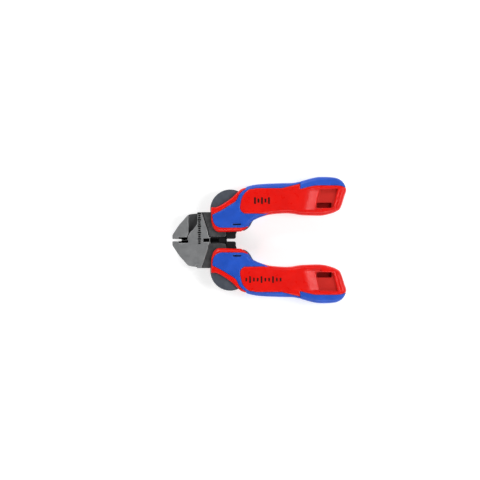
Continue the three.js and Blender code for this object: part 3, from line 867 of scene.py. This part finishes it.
GRIP_LOOK = {
    "grip_carrier": (RED, "red_plastic"),
    "soft_band": (BLUE, "blue_soft"),
    "end_cap": (BLUE, "blue_soft"),
}


# ---------------------------------------------------------------- pieces
def face_places(obj):
    """Centres in millimetres and normals of an object's faces."""
    mesh = obj.data
    centre = np.zeros(len(mesh.polygons) * 3)
    normal = np.zeros(len(mesh.polygons) * 3)
    mesh.polygons.foreach_get("center", centre)
    mesh.polygons.foreach_get("normal", normal)
    centre = centre.reshape(-1, 3) / MM - np.array([0, 0, MID])
    return centre[:, 0], np.abs(centre[:, 1]), np.abs(centre[:, 2]), normal.reshape(-1, 3)


def paint_faces(obj, choice):
    obj.data.polygons.foreach_set("material_index", choice.astype(np.int32))


def paint_carrier(obj):
    """The window floor is matt, its deep end gets painted shade in a darker red, and the soft grip
    laps over the foot's edge.
    """
    for material in (RED_MATTE, RED_PAINTED_SHADE, BLUE):
        obj.data.materials.append(material)
    matte, painted_deep_shade, blue = 1, 2, 3
    wall_height, floor_height, deep_end_y = 8.2, 7.15, 34.6
    foot_x0, foot_x1, foot_depth, foot_height = -10.6, 8.5, -1.7, 9.6
    x, y, high, _ = face_places(obj)
    in_window = signed_distance(WINDOW, x, y) < 0.3
    choice = np.where(in_window & (high < wall_height), matte, 0)
    # The deep end of the window is painted darker: painted shade.
    choice = np.where(in_window & (high < floor_height) & (y < deep_end_y), painted_deep_shade, choice)
    foot = (x > foot_x0) & (x < foot_x1) & (y < 24.6 + 0.1 * x)
    foot = foot & (signed_distance(GRIP, x, y) > foot_depth) & (high < foot_height)
    taper = 4 + 0.0165 * np.maximum(x + 10, 0) ** 2
    paint_faces(obj, np.where(foot & (high > taper), blue, choice))


def paint_jaw(obj):
    """Ground faces keep the bright steel and the rest keeps its scale; the edge bevels, the nick
    and the plate slot get black painted shade.
    """
    for material in (SCALE_STEEL, BLACK_PAINTED_SHADE):
        obj.data.materials.append(material)
    bright, scale, painted_shade = 0, 1, 2
    x, y, high, normal = face_places(obj)
    behind_plate = (x > -46.4 - (y - 3) * 0.31) & (high < 5.4)
    ground = (np.abs(normal[:, 2]) > 0.6) & (high > 4.3) & ~behind_plate
    # Painted shade: the gap between the blade bevels, the nick and the plate slot are painted
    # black.
    bevel = (x > -74.3) & (x < -65.2) & (y < 2.7) & (high < 6.2)
    nick = (x > -61) & (x < -57) & (y > 23) & (high > 3.6) & (high < 6.3)
    slot = (x > -53) & (y < 3.2) & (high < 6.0)
    choice = np.where(ground, bright, scale)
    paint_faces(obj, np.where(bevel | nick | slot, painted_shade, choice))


def paint_core(obj):
    """Between the jaw tails the tongue gets dark grey painted shade, with a black painted-shade
    line along the middle.
    """
    for material in (SHADE_STEEL, BLACK_PAINTED_SHADE):
        obj.data.materials.append(material)
    plain, shade, painted_shade = 0, 1, 2
    shade_half, black_half = 3.4, 1.75
    x, y, _, _ = face_places(obj)
    tongue = x < -31.5
    # Painted shade on the tongue between the tails: dark grey, black along the middle.
    choice = np.where(tongue & (y < shade_half), shade, plain)
    paint_faces(obj, np.where(tongue & (y < black_half), painted_shade, choice))


def both_sides(name, verts, faces, material, slot, node, body="handle", sharp=False):
    """The upper piece and, turned half a turn, the lower one."""
    made = []
    for side, points in (("upper", verts), ("lower", turned(verts))):
        obj = add_object(f"{side}_{name}", points, faces, material)
        if sharp:
            sharpen(obj)
        finish_piece(obj, f"{side}_{node}", f"{side}_{body}", slot)
        made.append(obj)
    return made


for piece, verts, quads in build_grip():
    material, slot = GRIP_LOOK[piece]
    for obj in both_sides(f"{piece}_moulded", relax(verts, quads), quads, material, slot, piece):
        if piece == "grip_carrier":
            paint_carrier(obj)

STEEL_RELAX = (1, 0.4)
verts, quads = build_jaw()
verts = relax(verts, quads, *STEEL_RELAX)
for obj in both_sides("jaw_forging", verts, quads, FORGED, "forged_steel", "jaw", "jaw"):
    paint_jaw(obj)

verts, quads = build_core()
verts = relax(verts, quads, *STEEL_RELAX)
for obj in both_sides("lever_core_steel", verts, quads, CORE_STEEL, "dark_steel", "lever_core"):
    paint_core(obj)

CHEEK_CHAMFER, SIDE_PIN_CHAMFER, PIVOT_CHAMFER, HEAD_CHAMFER = 0.35, 0.3, 0.2, 0.08
for layer, low, high in (
    ("front", CHEEK_INNER, CHEEK_OUTER),
    ("back", -CHEEK_OUTER, -CHEEK_INNER),
):
    node = f"{layer}_cheek"
    verts, faces = plate_mesh(CHEEK, low, high, CHEEK_CHAMFER)
    both_sides(f"{node}_plate", verts, faces, DISC_STEEL, "dark_steel", node, sharp=True)

for node, centre, r in (
    ("lever_rivet", LEVER_PIN, PIN_R),
    ("tang_rivet", TANG_RIVET, TANG_PIN_R),
):
    verts, faces = plate_mesh(circle(centre, r), -CHEEK_OUTER, CHEEK_OUTER, SIDE_PIN_CHAMFER)
    both_sides(f"{node}_pin", verts, faces, RIVET_STEEL, "rivet_steel", node, sharp=True)


def round_piece(name, node, body, centre, r, layer, chamfer, material):
    """A short round bar between the two heights of layer."""
    verts, faces = plate_mesh(circle(centre, r), *layer, chamfer)
    obj = add_object(name, verts, faces, material)
    sharpen(obj)
    finish_piece(obj, node, body, "rivet_steel")


round_piece("jaw_rivet_pin", "jaw_rivet", "lower_jaw", JAW_PIVOT, PIN_R,
            (-JAW_PIN_HALF, JAW_PIN_HALF), PIVOT_CHAMFER, FORGED)
round_piece("centre_rivet_pin", "centre_rivet", "lower_handle", CENTRE_PIVOT, CENTRE_PIN_R,
            (-CORE_HALF, CORE_HALF), PIVOT_CHAMFER, PIVOT_STEEL)
HEAD_LOW, HEAD_HIGH = 2.21, 2.45
for face, layer in (("front", (HEAD_LOW, HEAD_HIGH)), ("back", (-HEAD_HIGH, -HEAD_LOW))):
    round_piece(f"centre_rivet_{face}_head", None, "lower_handle", CENTRE_PIVOT, CENTRE_HEAD_R,
                layer, HEAD_CHAMFER, PIVOT_STEEL)

# Plain graduation bars: printed on the red panels and etched on the plate; the dark bars sunk in
# the shoulder grooves are painted shade.
BAR_RISE, BAR_DEPTH, BAR_CHAMFER = 0.04, 0.3, 0.02
PANEL_TOP = GRIP_HALF + BAR_RISE
PLATE_TOP = JAW_HALF + BAR_RISE
GROOVE_SHADE_TOP = 10.86


def printed_bar(name, body, place, size, top, material, slot):
    """A bar with rounded corners whose outer face is at height top, in front or at the back."""
    w, h = size[0] / 2, size[1] / 2
    r = min(w, h) * 0.6
    x, y = place
    path = Outline(x + w - r, y - h)
    for cx, cy, start in (
        (x + w - r, y - h + r, -90),
        (x + w - r, y + h - r, 0),
        (x - w + r, y + h - r, 90),
        (x - w + r, y - h + r, 180),
    ):
        path.arc(cx, cy, r, math.radians(start), math.radians(start + 90), 5)
    low, high = (top, top + BAR_DEPTH) if top < 0 else (top - BAR_DEPTH, top)
    verts, faces = plate_mesh(path.array(), low, high, BAR_CHAMFER)
    bar = add_object(name, verts, faces, material)
    sharpen(bar)
    finish_piece(bar, None, body, slot)


for k in range(5):
    printed_bar(f"upper_bar_{k}", "upper_handle", (-4.0 + 3.2 * k, 36.2),
                (1.6, 3.6 if k % 2 else 6.0), PANEL_TOP, PRINT, "red_plastic")
for k in range(10):
    printed_bar(f"lower_bar_{k}", "lower_handle", (-12.0 + 3.5 * k, -36.2),
                (1.4, 6.0 if k % 3 == 1 else 3.2), PANEL_TOP, PRINT, "red_plastic")
for k in range(15):
    printed_bar(f"plate_bar_{k}", "lower_jaw", (-55.1, 24.5 - 1.95 * k),
                (2.3 if k % 3 else 3.2, 1.5), PLATE_TOP, ETCH_AND_GROOVE_SHADE, "forged_steel")
# Dark bars in the shoulder grooves: painted shade.
for side, sign in (("upper", 1), ("lower", -1)):
    for layer, top in (("front", GROOVE_SHADE_TOP), ("back", -GROOVE_SHADE_TOP)):
        printed_bar(f"{side}_{layer}_dash", f"{side}_handle", (-20.5, sign * 14.4),
                    (7.6, 1.0), top, ETCH_AND_GROOVE_SHADE, "blue_soft")

# ---------------------------------------------------------------- floor, light, camera
# From here on, lengths are in metres.
REACH = 3
mesh = bpy.data.meshes.new("floor")
corners = [(-REACH, -REACH, 0), (REACH, -REACH, 0), (REACH, REACH, 0), (-REACH, REACH, 0)]
mesh.from_pydata(corners, [], [(0, 1, 2, 3)])
mesh.materials.append(pale_floor())
floor = bpy.data.objects.new("floor", mesh)
bpy.context.scene.collection.objects.link(floor)


def area_light(name, place, size, power):
    """A rectangular lamp aimed at the middle of the tool."""
    data = bpy.data.lights.new(name, "AREA")
    data.shape = "RECTANGLE"
    data.size, data.size_y = size
    data.energy = power
    lamp = bpy.data.objects.new(name, data)
    bpy.context.scene.collection.objects.link(lamp)
    lamp.location = place
    lamp.rotation_euler = (-Vector(place)).to_track_quat("-Z", "Y").to_euler()


area_light("key", (-0.55, 1.10, 0.85), (0.6, 0.6), 11.5)
area_light("rim", (0.78, 0.05, 1.10), (0.30, 0.5), 5.5)
area_light("fill", (0.25, -1.10, 0.90), (1.0, 0.5), 7.5)

# A white sky that is bright near the horizon and dim overhead.
world = bpy.data.worlds.new("studio")
world.use_nodes = True
sky = world.node_tree
direction = sky.nodes.new("ShaderNodeTexCoord").outputs["Generated"]
split = sky.nodes.new("ShaderNodeSeparateXYZ")
fade = sky.nodes.new("ShaderNodeMapRange")
for name, value in (("From Min", 0.45), ("From Max", 0.95), ("To Min", 0.60), ("To Max", 0.10)):
    fade.inputs[name].default_value = value
sky.links.new(direction, split.inputs["Vector"])
sky.links.new(split.outputs["Z"], fade.inputs["Value"])
sky.links.new(fade.outputs["Result"], sky.nodes["Background"].inputs["Strength"])
sky.nodes["Background"].inputs["Color"].default_value = (1, 1, 1, 1)
bpy.context.scene.world = world

# The camera looks straight down at the front of the tool; the view is VIEW_WIDTH wide at its top.
bpy.context.scene.view_settings.view_transform = "Standard"
VIEW_WIDTH = 0.4414
VIEW_CENTRE = (-0.01775, 0.0001)
VIEW_HEIGHT = 0.018
LENS, SENSOR = 100.0, 36.0
camera_data = bpy.data.cameras.new("camera")
camera_data.lens = LENS
camera_data.sensor_width = SENSOR
camera = bpy.data.objects.new("camera", camera_data)
bpy.context.scene.collection.objects.link(camera)
camera.location = (*VIEW_CENTRE, VIEW_HEIGHT + VIEW_WIDTH * LENS / SENSOR)
bpy.context.scene.camera = camera
